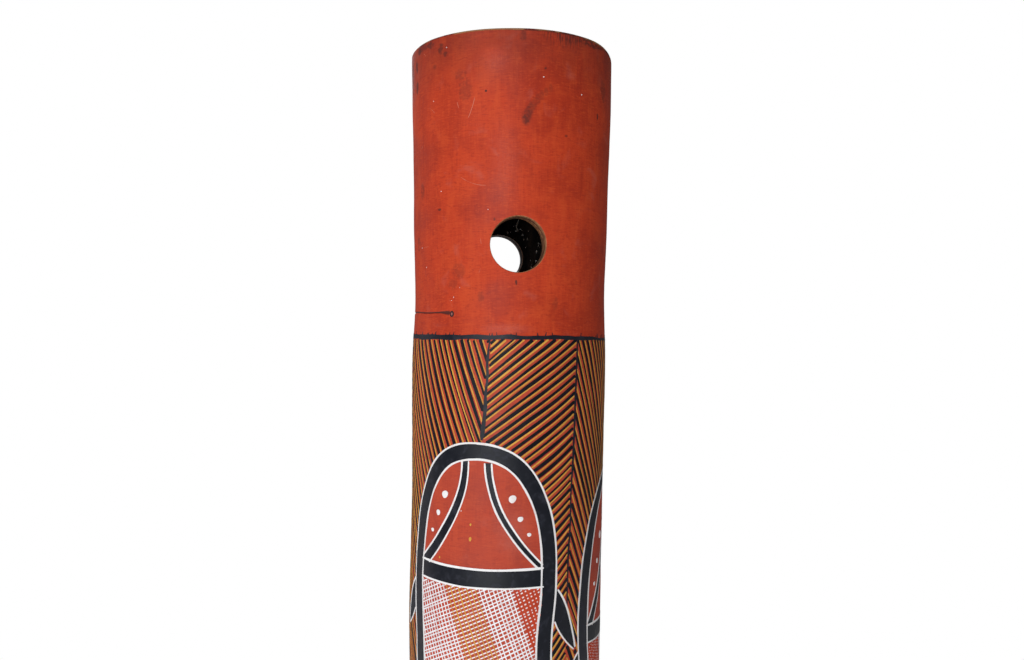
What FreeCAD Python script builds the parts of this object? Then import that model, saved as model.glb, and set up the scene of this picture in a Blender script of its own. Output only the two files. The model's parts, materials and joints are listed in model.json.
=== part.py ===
import FreeCAD, Part
import os
import Sketcher

# A didgeridoo: a naturally hollow, gently bowed log that stands upright with
# its wide bell end up, and a wax mouthpiece pressed into the bore at its foot.
# Millimetres, +Z up. The origin is on the floor, under the middle of the log.

doc = FreeCAD.newDocument("didgeridoo")
dims = doc.addObject("Spreadsheet::Sheet", "Dims")

# ---------------------------------------------------------------- dimensions

# Round sections at even steps of height, from the bottom of each run to its
# top: the radius, and how far the log's axis stands there to +X of the origin.
SECTIONS = {
    "trunk": [
        (46.0, 0.6),
        (49.6, -2.5),
        (53.6, -4.6),
        (57.6, -5.6),
        (61.7, -5.4),
        (65.6, -4.1),
    ],
    # the crown starts on the trunk's last section, and has a slight waist
    "crown": [
        (65.6, -4.1),
        (65.4, -3.1),
        (65.2, -2.2),
        (65.9, -1.8),
        (66.3, -1.3),
        (64.7, -0.6),
        (66.0, -0.3),
        (66.7, 0.0),
        (68.0, 0.6),
        (68.4, 0.7),
    ],
    # the bore, hollowed by termites, is widest in the bell
    "bore": [
        (23.0, 0.6),
        (27.0, -2.9),
        (34.0, -5.0),
        (41.0, -5.5),
        (47.4, -3.6),
        (52.0, 0.7),
    ],
}

SIZES = {
    # the foot's face, the crown's start and the bell's face
    "foot_height": 0.0,
    "crown_height": 1026.5,
    "bell_height": 1400.0,
    # the round hole, level through both walls below the bell
    "cross_height": 1266.5,
    "cross_radius": 17.5,
    "cross_shift": -2.8,
    "cross_turn": 6.9,
    "cross_length": 180.0,
    "cross_edge": 0.8,
    # the worn edges of the two ends
    "bell_outer_edge": 3.0,
    "bell_inner_edge": 2.0,
    "foot_outer_edge": 2.0,
    # the seat scraped round in the foot for the wax, and the wax ring in it
    "seat_radius": 27.0,
    "seat_depth": 30.0,
    "wax_inset": 0.6,
    "wax_throat_radius": 15.0,
    "wax_throat_height": 8.0,
    "wax_top_radius": 21.0,
    "wax_lip": 7.0,
}


def fill_sheet():
    """Writes every driving dimension to the sheet, one aliased cell each."""
    cells = dict(SIZES)
    for run, sections in SECTIONS.items():
        for number, (radius, lean) in enumerate(sections):
            cells[f"{run}_radius_{number}"] = radius
            cells[f"{run}_lean_{number}"] = lean
    for row, (alias, value) in enumerate(cells.items(), start=1):
        dims.set(f"A{row}", alias.replace("_", " "))
        dims.set(f"B{row}", str(value))
        dims.setAlias(f"B{row}", alias)
    doc.recompute()


# ------------------------------------------------------------------- helpers


def new_body(name):
    body = doc.addObject("PartDesign::Body", name)
    body.Label = name
    return body


def new_sketch(body, name, role):
    """A sketch on the body's own XY_Plane or XZ_Plane."""
    plane = next(f for f in body.Origin.OriginFeatures if f.Role == role)
    sketch = body.newObject("Sketcher::SketchObject", name)
    sketch.AttachmentSupport = [(plane, "")]
    sketch.MapMode = "FlatFace"
    return sketch


def bind(sketch, kind, place, alias):
    """Adds a constraint on the place, with the size in the sheet's cell."""
    index = sketch.addConstraint(Sketcher.Constraint(kind, *place, dims.get(alias)))
    sketch.setExpression(f"Constraints[{index}]", f"Dims.{alias}")


def draw_circle(sketch, alias):
    """A circle about the sketch's origin, its radius from the sheet."""
    centre = FreeCAD.Vector(0, 0, 0)
    upright = FreeCAD.Vector(0, 0, 1)
    sketch.addGeometry(Part.Circle(centre, upright, dims.get(alias)), False)
    sketch.addConstraint(Sketcher.Constraint("Coincident", 0, 3, -1, 1))
    bind(sketch, "Radius", (0,), alias)


def draw_outline(sketch, corners):
    """A closed outline of straight lines, each corner placed by two cells."""
    spots = [FreeCAD.Vector(dims.get(x), dims.get(y), 0) for x, y in corners]
    for start, end in zip(spots, spots[1:] + spots[:1]):
        sketch.addGeometry(Part.LineSegment(start, end), False)
    for number in range(len(corners)):
        following = (number + 1) % len(corners)
        sketch.addConstraint(Sketcher.Constraint("Coincident", number, 2, following, 1))
    for number, (x, y) in enumerate(corners):
        bind(sketch, "DistanceX", (-1, 1, number, 1), x)
        bind(sketch, "DistanceY", (-1, 1, number, 1), y)


def loft(body, kind, run, bottom, top, ruled):
    """An AdditiveLoft or SubtractiveLoft through a run's sections, upwards."""
    steps = len(SECTIONS[run]) - 1
    sketches = []
    for number in range(steps + 1):
        sketch = new_sketch(body, f"{run}_section_{number}", "XY_Plane")
        height = f"Dims.{bottom} + (Dims.{top} - Dims.{bottom}) * {number} / {steps}"
        sketch.setExpression("AttachmentOffset.Base.x", f"Dims.{run}_lean_{number}")
        sketch.setExpression("AttachmentOffset.Base.z", height)
        draw_circle(sketch, f"{run}_radius_{number}")
        sketches.append(sketch)
    feature = body.newObject("PartDesign::" + kind, run)
    feature.Profile = sketches[0]
    feature.Sections = sketches[1:]
    feature.Ruled = ruled
    doc.recompute()
    return feature


def check_cut(before, feature, low, high):
    """Stops unless the cut took off between low and high cubic centimetres."""
    removed = (before.Volume - feature.Shape.Volume) / 1000.0
    print(f"{feature.Name} took off {removed:.1f} cm3")
    if not low < removed < high:
        raise RuntimeError(f"{feature.Name} cut the wrong volume")


def round_edges(body, name, alias, names):
    """Rounds the named edges of the body by the sheet's radius."""
    base = body.Tip
    fillet = body.newObject("PartDesign::Fillet", name)
    fillet.Base = (base, names)
    fillet.setExpression("Radius", f"Dims.{alias}")
    doc.recompute()


def circles_at(shape, height, radius):
    """Names of the level round edges of one radius at one height."""
    names = []
    for number, edge in enumerate(shape.Edges, start=1):
        if edge.Curve.TypeId != "Part::GeomCircle":
            continue
        level = abs(edge.Curve.Center.z - height) < 0.01
        if level and abs(edge.Curve.Radius - radius) < 0.01:
            names.append(f"Edge{number}")
    return names


def saddle_edges(shape, height, radius):
    """Names of the rising edges of the level hole at one height."""
    names = []
    for number, edge in enumerate(shape.Edges, start=1):
        box = edge.BoundBox
        inside = abs(box.Center.z - height) < radius
        if inside and 0.02 * radius < box.ZLength < 2.2 * radius:
            names.append(f"Edge{number}")
    return names


# ------------------------------------------------------------------ the parts


def make_log():
    """The log: tapered and bowed outside, bored through, with its cross hole."""
    body = new_body("log_body")
    loft(body, "AdditiveLoft", "trunk", "foot_height", "crown_height", ruled=False)
    crown = loft(body, "AdditiveLoft", "crown", "crown_height", "bell_height", ruled=True)
    bore = loft(body, "SubtractiveLoft", "bore", "foot_height", "bell_height", ruled=False)
    check_cut(crown.Shape, bore, 5500.0, 7500.0)

    sketch = new_sketch(body, "seat_sketch", "XY_Plane")
    sketch.setExpression("AttachmentOffset.Base.x", "Dims.trunk_lean_0")
    draw_circle(sketch, "seat_radius")
    seat = body.newObject("PartDesign::Pocket", "seat")
    seat.Profile = sketch
    seat.Reversed = True
    seat.setExpression("Length", "Dims.seat_depth")
    doc.recompute()
    check_cut(bore.Shape, seat, 10.0, 30.0)

    for name, height, radius in (
        ("bell_outer_edge", "bell_height", "crown_radius_9"),
        ("bell_inner_edge", "bell_height", "bore_radius_5"),
        ("foot_outer_edge", "foot_height", "trunk_radius_0"),
    ):
        circles = circles_at(body.Tip.Shape, dims.get(height), dims.get(radius))
        round_edges(body, "round_" + name, name, circles)

    rounded = body.Tip
    sketch = new_sketch(body, "cross_sketch", "XZ_Plane")
    turn_axis = FreeCAD.Rotation(FreeCAD.Vector(0, 1, 0), 1.0)
    sketch.AttachmentOffset = FreeCAD.Placement(FreeCAD.Vector(), turn_axis)
    sketch.setExpression("AttachmentOffset.Base.x", "Dims.cross_shift")
    sketch.setExpression("AttachmentOffset.Base.y", "Dims.cross_height")
    sketch.setExpression("AttachmentOffset.Rotation.Angle", "Dims.cross_turn")
    draw_circle(sketch, "cross_radius")
    cross = body.newObject("PartDesign::Pocket", "cross_hole")
    cross.Profile = sketch
    cross.SideType = "Symmetric"
    cross.setExpression("Length", "Dims.cross_length")
    doc.recompute()
    check_cut(rounded.Shape, cross, 25.0, 45.0)

    rims = saddle_edges(cross.Shape, dims.get("cross_height"), dims.get("cross_radius"))
    round_edges(body, "round_cross_hole", "cross_edge", rims)
    return body


def make_mouthpiece():
    """The wax ring: fills the seat and narrows the bore to a rounded lip."""
    body = new_body("beeswax_mouthpiece")
    sketch = new_sketch(body, "ring_sketch", "XZ_Plane")
    sketch.setExpression("AttachmentOffset.Base.x", "Dims.trunk_lean_0")
    draw_outline(
        sketch,
        [
            ("seat_radius", "wax_inset"),
            ("seat_radius", "seat_depth"),
            ("wax_top_radius", "seat_depth"),
            ("wax_throat_radius", "wax_throat_height"),
            ("wax_throat_radius", "wax_inset"),
        ],
    )
    ring = body.newObject("PartDesign::Revolution", "ring")
    ring.Profile = sketch
    ring.ReferenceAxis = (sketch, ["V_Axis"])
    ring.Angle = 360.0
    doc.recompute()
    lip = circles_at(ring.Shape, dims.get("wax_inset"), dims.get("wax_throat_radius"))
    round_edges(body, "round_lip", "wax_lip", lip)
    return body


def check_and_write(bodies):
    """Stops if anything failed to build, then writes one STEP file per part."""
    doc.recompute()
    for item in doc.Objects:
        if {"Invalid", "Error"} & set(item.State):
            raise RuntimeError(f"{item.Name} did not build")
    for body in bodies:
        if body.Shape.isNull() or not body.Shape.isValid():
            raise RuntimeError(f"{body.Label} is not a valid solid")
    os.makedirs("parts", exist_ok=True)
    for body in bodies:
        body.Shape.exportStep(f"parts/{body.Label}.step")
        print(f"{body.Label}: {body.Shape.Volume / 1000:.0f} cm3")


fill_sheet()
check_and_write([make_log(), make_mouthpiece()])
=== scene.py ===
import json
import math
import random

import bmesh
import bpy
import numpy as np
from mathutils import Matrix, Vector
from mathutils.bvhtree import BVHTree


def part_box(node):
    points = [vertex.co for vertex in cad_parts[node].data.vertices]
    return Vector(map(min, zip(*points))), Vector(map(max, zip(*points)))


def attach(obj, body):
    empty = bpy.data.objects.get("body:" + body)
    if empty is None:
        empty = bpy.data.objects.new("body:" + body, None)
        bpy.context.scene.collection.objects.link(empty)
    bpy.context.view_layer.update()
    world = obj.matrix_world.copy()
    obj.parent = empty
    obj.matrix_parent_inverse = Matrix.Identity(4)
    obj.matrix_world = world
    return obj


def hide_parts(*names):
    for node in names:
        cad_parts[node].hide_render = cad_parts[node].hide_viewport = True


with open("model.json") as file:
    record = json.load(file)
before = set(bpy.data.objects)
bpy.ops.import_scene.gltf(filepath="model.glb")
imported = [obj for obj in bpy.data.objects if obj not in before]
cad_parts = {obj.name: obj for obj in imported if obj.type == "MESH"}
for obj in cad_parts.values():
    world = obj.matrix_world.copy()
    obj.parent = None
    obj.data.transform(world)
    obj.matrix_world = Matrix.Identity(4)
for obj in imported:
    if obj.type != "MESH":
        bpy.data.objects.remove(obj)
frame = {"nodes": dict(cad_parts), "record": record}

# The painting is laid out in millimetres: ACROSS runs round the log, as arc
# length at its painted girth, from the side that faces -Y and positive
# towards +X, and DOWN is the distance below the bell. PHI is the same turn
# as an angle. Blender gets metres.
MM = 0.001
rng = random.Random(41)
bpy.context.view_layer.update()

# ------------------------------------------------------- the log, as measured

LOG = frame["nodes"]["log_body"]
_, log_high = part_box("log_body")
wax_low, wax_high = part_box("beeswax_mouthpiece")
TOP = log_high.z / MM
SEAT_TOP = wax_high.z / MM
WAX_RADIUS = (wax_high.x - wax_low.x) / 2 / MM
SEAT_RADIUS = WAX_RADIUS + 0.6
FOOT_X = (wax_high.x + wax_low.x) / 2 / MM


def measured_profile():
    """Heights, outer centre and radius, bore centre and radius of the CAD log."""
    mesh = LOG.data
    tree = BVHTree.FromPolygons(
        [v.co for v in mesh.vertices], [tuple(p.vertices) for p in mesh.polygons]
    )
    rows = []
    for height in np.arange(SEAT_TOP + 6.0, TOP - 5.0, 8.0):
        hits = []
        start = Vector((-0.2, 0.0002, height * MM))
        while len(hits) < 4:
            spot = tree.ray_cast(start, Vector((1, 0, 0)))[0]
            hits.append(spot.x / MM)
            start = spot + Vector((1e-5, 0, 0))
        left, bore_left, bore_right, right = hits
        outer = ((left + right) / 2, (right - left) / 2)
        bore = ((bore_left + bore_right) / 2, (bore_right - bore_left) / 2)
        rows.append((height, *outer, *bore))
    return np.array(rows).T


def smoothed(values, reach=1):
    """A moving average, with each end carried on along its own slope."""
    before = values[0] + (values[1] - values[0]) * np.arange(-reach, 0)
    after = values[-1] + (values[-1] - values[-2]) * np.arange(1, reach + 1)
    padded = np.concatenate([before, values, after])
    return np.convolve(padded, np.ones(2 * reach + 1) / (2 * reach + 1), "valid")


PROFILE = measured_profile()
HEIGHTS = PROFILE[0]
CENTRE, RADIUS, BORE_CENTRE, BORE_RADIUS = (smoothed(row) for row in PROFILE[1:])


def along(values, height):
    """A profile read at a height, carried on past its two ends."""
    height = np.asarray(height, float)
    low_slope = (values[1] - values[0]) / (HEIGHTS[1] - HEIGHTS[0])
    high_slope = (values[-1] - values[-2]) / (HEIGHTS[-1] - HEIGHTS[-2])
    below = np.minimum(height - HEIGHTS[0], 0) * low_slope
    above = np.maximum(height - HEIGHTS[-1], 0) * high_slope
    return np.interp(height, HEIGHTS, values) + below + above


def waves(count, lobes, longest, shortest, seed):
    """Random waves that close round the log: lobes, rate, phase and weight."""
    draw = random.Random(seed)
    table = []
    for _ in range(count):
        length = math.exp(draw.uniform(math.log(shortest), math.log(longest)))
        lobe = draw.randint(0, lobes)
        rate = draw.choice((-1, 1)) * 2 * math.pi / length
        weight = (length / longest) ** 0.5
        table.append((lobe, rate, draw.uniform(0, 2 * math.pi), weight))
    return table


def rolling(table, phi, height):
    """The sum of some waves at each point, scaled to about -1 to 1."""
    total = sum(weight for _, _, _, weight in table) ** 0.5
    value = 0.0
    for lobe, rate, phase, weight in table:
        value = value + weight * np.sin(lobe * phi + rate * height + phase)
    return value / total / 1.4


ROLL = waves(16, 7, 420.0, 38.0, 5)
FINE_ROLL = waves(22, 24, 60.0, 12.0, 6)
BORE_ROLL = waves(26, 16, 240.0, 24.0, 7)
END_ROLL = waves(14, 9, 40.0, 9.0, 8)
ROLL_HEIGHT = 0.24     # how far the waves of the skin and the bore stand out
FINE_ROLL_HEIGHT = 0.05
BORE_RIPPLE = 0.8

# an insect's gallery scores the crown: it comes round from the left side of
# the log and ends in a small plugged hole
GALLERY_DOWN = 175.2
GALLERY_START = math.radians(-104)
GALLERY_END = math.radians(-34.5)
GALLERY_WIDTH = 0.5
GALLERY_FLARE = 1.0        # how much wider it is by its end
GALLERY_DEPTH = 0.6


def gallery_down(phi):
    """How far down the middle of the gallery is at each angle."""
    turn = np.clip((phi - GALLERY_START) / (GALLERY_END - GALLERY_START), 0, 1)
    return GALLERY_DOWN + 1.3 * turn**9 + 0.35 * np.sin(11 * turn)


def gallery(phi, height):
    """1 along the middle of the gallery, fading to 0 at its banks."""
    flare = np.clip((phi - GALLERY_END + 0.16) / 0.12, 0, 1)
    off = (TOP - height - gallery_down(phi)) / (GALLERY_WIDTH + GALLERY_FLARE * flare)
    start = np.clip((phi - GALLERY_START) / 0.1, 0, 1)
    end = np.clip((GALLERY_END - phi) / 0.03, 0, 1)
    return np.exp(-off * off) * start * end


def around_axis(centre, reach, phi, height):
    """Points at a reach from a centre line, in metres."""
    x = centre + reach * np.sin(phi)
    return np.stack(np.broadcast_arrays(x, -reach * np.cos(phi), height), -1) * MM


def relief(phi, height):
    """How far the skin stands off its measured radius, in millimetres."""
    value = ROLL_HEIGHT * rolling(ROLL, phi, height)
    value = value + FINE_ROLL_HEIGHT * rolling(FINE_ROLL, phi, height)
    return value - GALLERY_DEPTH * gallery(phi, height)


def skin(phi, height, lift=0.0):
    """Points on the painted skin, in metres, lifted off it by millimetres."""
    reach = along(RADIUS, height) + relief(phi, height) + lift
    return around_axis(along(CENTRE, height), reach, phi, height)


def bore_wall(phi, height):
    """Points on the rippled inner wall that the termites left."""
    reach = along(BORE_RADIUS, height) + BORE_RIPPLE * rolling(BORE_ROLL, phi, height)
    return around_axis(along(BORE_CENTRE, height), reach, phi, height)


# ------------------------------------------------------------- the cross hole

HOLE = next(m for m in frame["record"]["mounts"] if m["name"] == "cross_hole")
HOLE_X, _, HOLE_HEIGHT = (value / MM for value in HOLE["pos_m"])
HOLE_RADIUS = HOLE["dims"]["r_mm"]
HOLE_WAY = np.array(HOLE["axis"][:2])
HOLE_SIDE = np.array([HOLE_WAY[1], -HOLE_WAY[0]])
HOLE_EDGE = 0.5        # how far the hole's worn edge rolls in
RIDGES = (5.0, 10.6)   # how deep its two ridges are
RIDGE_REACH = 1.35


def hole_spots(turns, radius, back, inner):
    """PHI and height where a ring round the hole's axis meets a wall."""
    height = HOLE_HEIGHT + radius * np.sin(turns)
    sideways = radius * np.cos(turns) * (-1 if back else 1)
    centres, reaches = (BORE_CENTRE, BORE_RADIUS) if inner else (CENTRE, RADIUS)
    x = HOLE_X + sideways * HOLE_SIDE[0] - along(centres, height)
    y = sideways * HOLE_SIDE[1]
    behind = x * HOLE_WAY[0] + y * HOLE_WAY[1]
    reach = along(reaches, height)
    root = np.sqrt(behind**2 - (x * x + y * y - reach**2))
    step = -behind + (root if back else -root)
    x = x + step * HOLE_WAY[0]
    y = y + step * HOLE_WAY[1]
    return np.arctan2(x, -y), height


# ------------------------------------------------------------ the log's mesh

COLUMNS = 168
TURN = 2 * math.pi / COLUMNS
ANGLES = -math.pi + TURN * np.arange(COLUMNS)
RIM_START = 11.0       # the worn rim begins this far below the bell
FOOT_ROUND = 2.5
BORE_ROUND = 2.0
RIM_TIGHT = 1.5        # the rim's radius nearly all round, and what its right adds
RIM_SLACK = 3.4
OUTER_BLOCK = 9.0      # how far past the cross hole its finer blocks of mesh reach
BORE_BLOCK = 6.0
RED, END, BORE, TUNNEL = range(4)     # the log's material slots


def spread(start, end, step):
    """Evenly spaced values from start to end, about step apart."""
    return np.linspace(start, end, round(abs(end - start) / step) + 1)


def rim_round(phi):
    """The worn rim's radius: tight nearly all round, slack at the right."""
    right = np.exp(-(((phi - math.radians(88)) / 0.5) ** 2))
    return RIM_TIGHT + RIM_SLACK * right + 0.25 * np.sin(7 * phi + 1) * np.cos(3 * phi)


def saw_cut(phi, inset):
    """The bell face's unevenness, always at or below the sawn plane."""
    rough = rolling(END_ROLL, phi, inset)
    return -0.25 + 0.22 * np.clip(rough, -1, 1)


class LogMesh:
    """Vertices, faces and per-vertex values of the log, gathered ring by ring: wear at the rim, dark
    ridges in the cross hole and painted shade in its far mouth.
    """

    def __init__(self):
        self.points = []
        self.wear = []
        self.faces = []
        self.kinds = []

    def ring(self, points, wear=0.0):
        """Adds a closed ring of vertices and returns their indices."""
        first = len(self.points)
        self.points.extend(points)
        self.wear.extend(np.broadcast_to(wear, len(points)))
        return np.arange(first, first + len(points))

    def strip(self, low, high, kind, skip=()):
        """Quads between two rings, apart from the columns in skip."""
        count = len(low)
        for here in range(count):
            if here not in skip:
                after = (here + 1) % count
                self.faces.append((low[here], low[after], high[after], high[here]))
                self.kinds.append(kind)

    def grow(self, edge, points, kind, wear=0.0):
        """Adds a ring joined to the ring edge, and returns its indices."""
        ring = self.ring(points, wear)
        self.strip(edge, ring, kind)
        return ring


def block_border(grid, rows, columns):
    """A block's border vertices, from its lower left corner and anticlockwise."""
    low, high = rows
    left, right = columns
    spots = [(low, c) for c in range(left, right)]
    spots += [(r, right) for r in range(low, high)]
    spots += [(high, c) for c in range(right, left, -1)]
    spots += [(r, left) for r in range(high, low, -1)]
    return spots, np.array([grid[r][c % COLUMNS] for r, c in spots])


def fill_block(log, grid, heights, rows, columns, back, inner, kind):
    """Rings that close a block of the wall in to the hole's round edge."""
    spots, indices = block_border(grid, rows, columns)
    phi = np.array([-math.pi + TURN * c for _, c in spots])
    height = np.array([heights[r] for r, _ in spots])
    turns = math.radians(225) + 2 * math.pi * np.arange(len(spots)) / len(spots)
    edge_phi, edge_height = hole_spots(turns, HOLE_RADIUS + HOLE_EDGE, back, inner)
    edge_phi = phi + (edge_phi - phi + math.pi) % (2 * math.pi) - math.pi
    wall = bore_wall if inner else skin
    for share in (0.2, 0.38, 0.54, 0.68, 0.8, 0.91, 1.0):
        ring_phi = phi + (edge_phi - phi) * share
        ring_height = height + (edge_height - height) * share
        indices = log.grow(indices, wall(ring_phi, ring_height), kind)
    inward = np.array([*HOLE_WAY, 0.0]) * (-1 if back == (not inner) else 1) * MM
    for angle in (30, 60, 90):
        radius = HOLE_RADIUS + HOLE_EDGE * (1 - math.sin(math.radians(angle)))
        depth = HOLE_EDGE * (1 - math.cos(math.radians(angle)))
        ring_phi, ring_height = hole_spots(turns, radius, back, inner)
        points = wall(ring_phi, ring_height) + inward * depth
        indices = log.grow(indices, points, TUNNEL if angle > 30 else kind)
    return indices, turns


def bore_tunnel(log, outer, inner, turns, back):
    """The cross hole's wall, with the two dark ridges that the cutter left; its far mouth is given
    the full dark value all through, a painted shade.
    """
    start = np.array([log.points[i] for i in outer])
    end = np.array([log.points[i] for i in inner])
    length = np.linalg.norm(end - start, axis=1).mean() / MM
    side = np.array([*HOLE_SIDE, 0.0]) * (-1 if back else 1)
    out = np.outer(np.cos(turns), side) + np.outer(np.sin(turns), (0, 0, 1))
    edge = outer
    for stop in spread(0.9, length - 0.9, 0.8):
        ridge = sum(math.exp(-(((stop - at) / RIDGE_REACH) ** 2)) for at in RIDGES)
        wobble = 0.15 * np.sin(3 * turns + stop) + 0.12 * math.sin(stop * 1.7) - 0.5 * ridge
        points = start + (end - start) * (stop / length) + out * wobble[:, None] * MM
        # the far mouth's rings all take the full value: painted shade, which the tunnel's material
        # turns nearly black
        edge = log.grow(edge, points, TUNNEL, 1.0 if back else ridge)
    log.strip(edge, inner, TUNNEL)


def wall_grid(log, wall, bands):
    """The heights in bands, and a ring round the wall at each of them."""
    heights = np.unique(np.round(np.concatenate(bands), 6))
    return heights, [log.ring(wall(ANGLES, np.full(COLUMNS, height))) for height in heights]


def make_log():
    """The whole log as one closed mesh, with its bore and its cross hole."""
    log = LogMesh()
    half = HOLE_RADIUS + OUTER_BLOCK
    hole_rows = spread(HOLE_HEIGHT - half, HOLE_HEIGHT + half, 2 * half / 24)
    groove = TOP - GALLERY_DOWN
    outer_heights, outer = wall_grid(log, skin, [
        spread(FOOT_ROUND, TOP - 210, 4.0),
        spread(TOP - 210, groove - 5, 2.4),
        spread(groove - 5, groove + 4, 0.5),
        spread(groove + 4, hole_rows[0], 2.4),
        hole_rows,
        spread(hole_rows[-1], TOP - RIM_START, 2.4),
    ])
    half = HOLE_RADIUS + BORE_BLOCK
    bore_rows = spread(HOLE_HEIGHT - half, HOLE_HEIGHT + half, 2 * half / 18)
    bore_heights, bore = wall_grid(log, bore_wall, [
        spread(SEAT_TOP + 1.0, bore_rows[0], 13.0),
        bore_rows,
        spread(bore_rows[-1], TOP - BORE_ROUND - 4, 9.0),
    ])
    walls = (
        (outer, outer_heights, hole_rows, False, RED, 10),
        (bore, bore_heights, bore_rows, True, BORE, 13),
    )
    skipped = {True: set(), False: set()}
    for back in (False, True):
        edges = []
        for grid, heights, block, inner, kind, reach in walls:
            rows = [int(np.argmin(abs(heights - block[end]))) for end in (0, -1)]
            phi = hole_spots(np.zeros(1), 0.0, back, inner)[0][0]
            middle = round((phi + math.pi) / TURN)
            columns = (middle - reach, middle + reach + 1)
            edge, turns = fill_block(log, grid, heights, rows, columns, back, inner, kind)
            edges.append(edge)
            skipped[inner] |= {c % COLUMNS for c in range(*columns)}
        bore_tunnel(log, *edges, turns, back)

    for grid, heights, block, inner, kind, _ in walls:
        for row in range(len(grid) - 1):
            beside_hole = block[0] - 0.01 < heights[row] < block[-1] - 0.01
            log.strip(grid[row], grid[row + 1], kind, skipped[inner] if beside_hole else ())

    close_bell(log, outer[-1], bore[-1])
    close_foot(log, outer[0], bore[0])
    return log


def close_bell(log, edge, bore):
    """The worn rim, the sawn bell face and the bore's rounded edge."""
    curve = rim_round(ANGLES)
    start = TOP - RIM_START
    reach = along(RADIUS, start) + relief(ANGLES, start)
    reach_top = along(RADIUS, TOP) + relief(ANGLES, TOP)
    for share in (0.25, 0.5, 0.75, 0.9, 1.0):
        height = start + (RIM_START - curve - 0.3) * share
        edge = log.grow(edge, skin(ANGLES, height), RED, 0.75 if share == 1.0 else 0.0)
    for angle in (15, 30, 45, 60, 75, 90):
        turn = math.radians(angle)
        inset = curve * (1 - math.cos(turn))
        height = TOP + saw_cut(ANGLES, reach_top) - curve * (1 - math.sin(turn))
        kind, wear = (RED, 1.0) if angle < 75 else (END, 0.6)
        edge = log.grow(edge, skin(ANGLES, height, -inset), kind, wear)
    bore_reach = along(BORE_RADIUS, TOP) + BORE_ROUND
    for share in np.linspace(0.12, 1.0, 9):
        inset = curve + (reach - curve - bore_reach) * share
        height = TOP + saw_cut(ANGLES, reach_top - inset)
        edge = log.grow(edge, skin(ANGLES, height, -inset), END)
    out = np.stack([np.sin(ANGLES), -np.cos(ANGLES), 0 * ANGLES], -1)
    for angle in (35, 70):
        turn = math.radians(angle)
        height = TOP - 0.5 - BORE_ROUND * (1 - math.cos(turn))
        points = bore_wall(ANGLES, np.full(COLUMNS, height))
        edge = log.grow(edge, points + out * BORE_ROUND * (1 - math.sin(turn)) * MM, END)
    log.strip(edge, bore, BORE)


def close_foot(log, edge, bore):
    """The sawn foot, with the straight-sided seat that holds the wax."""
    flat = along(RADIUS, 0.0) - FOOT_ROUND
    for angle in (30, 60, 90):
        turn = math.radians(angle)
        height = np.full(COLUMNS, FOOT_ROUND * (1 - math.sin(turn)))
        edge = log.grow(edge, skin(ANGLES, height, -FOOT_ROUND * (1 - math.cos(turn))), END)
    rings = [(flat + (SEAT_RADIUS - flat) * share, 0.0, END) for share in (0.3, 0.6, 0.9)]
    rings += [(SEAT_RADIUS + 0.4, 0.1, BORE), (SEAT_RADIUS, 0.5, BORE)]
    rings += [(SEAT_RADIUS, SEAT_TOP * share, BORE) for share in (0.5, 1.0)]
    for radius, height, kind in rings:
        edge = log.grow(edge, around_axis(FOOT_X, radius, ANGLES, height), kind)
    log.strip(edge, bore, BORE)


def finished(name, points, faces, material, body="root", kinds=None):
    """A mesh object with outward normals, sharp where it folds, on its body."""
    mesh = bpy.data.meshes.new(name)
    mesh.from_pydata([tuple(p) for p in points], [], [tuple(f) for f in faces])
    for each in material:
        mesh.materials.append(each)
    if kinds is not None:
        mesh.polygons.foreach_set("material_index", kinds)
    shape = bmesh.new()
    shape.from_mesh(mesh)
    bmesh.ops.recalc_face_normals(shape, faces=shape.faces)
    shape.to_mesh(mesh)
    shape.free()
    mesh.shade_smooth()
    mesh.set_sharp_from_angle(angle=math.radians(42))
    piece = bpy.data.objects.new(name, mesh)
    bpy.context.scene.collection.objects.link(piece)
    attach(piece, body)
    return piece


def give_values(piece, name, values):
    """Stores one number per vertex, for the piece's material to read."""
    layer = piece.data.attributes.new(name, "FLOAT", "POINT")
    layer.data.foreach_set("value", np.asarray(values, np.float32))


def wall_quads(index):
    """Faces between the rows of an index grid whose rows close on themselves."""
    beside = np.roll(index, -1, 1)
    quads = np.stack([index[:-1], beside[:-1], beside[1:], index[1:]], -1)
    return quads.reshape(-1, 4)


# ---------------------------------------------------------------- materials

def feed(socket, value):
    """Links a socket to another's output, or sets it to a constant."""
    if isinstance(value, bpy.types.NodeSocket):
        socket.id_data.links.new(value, socket)
    else:
        socket.default_value = value


def add_node(tree, kind, inputs=(), **settings):
    """A new node, with some of its inputs fed and its settings made."""
    made = tree.nodes.new("ShaderNode" + kind)
    for name, value in settings.items():
        setattr(made, name, value)
    for socket, value in dict(inputs).items():
        feed(made.inputs[socket], value)
    return made


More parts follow.
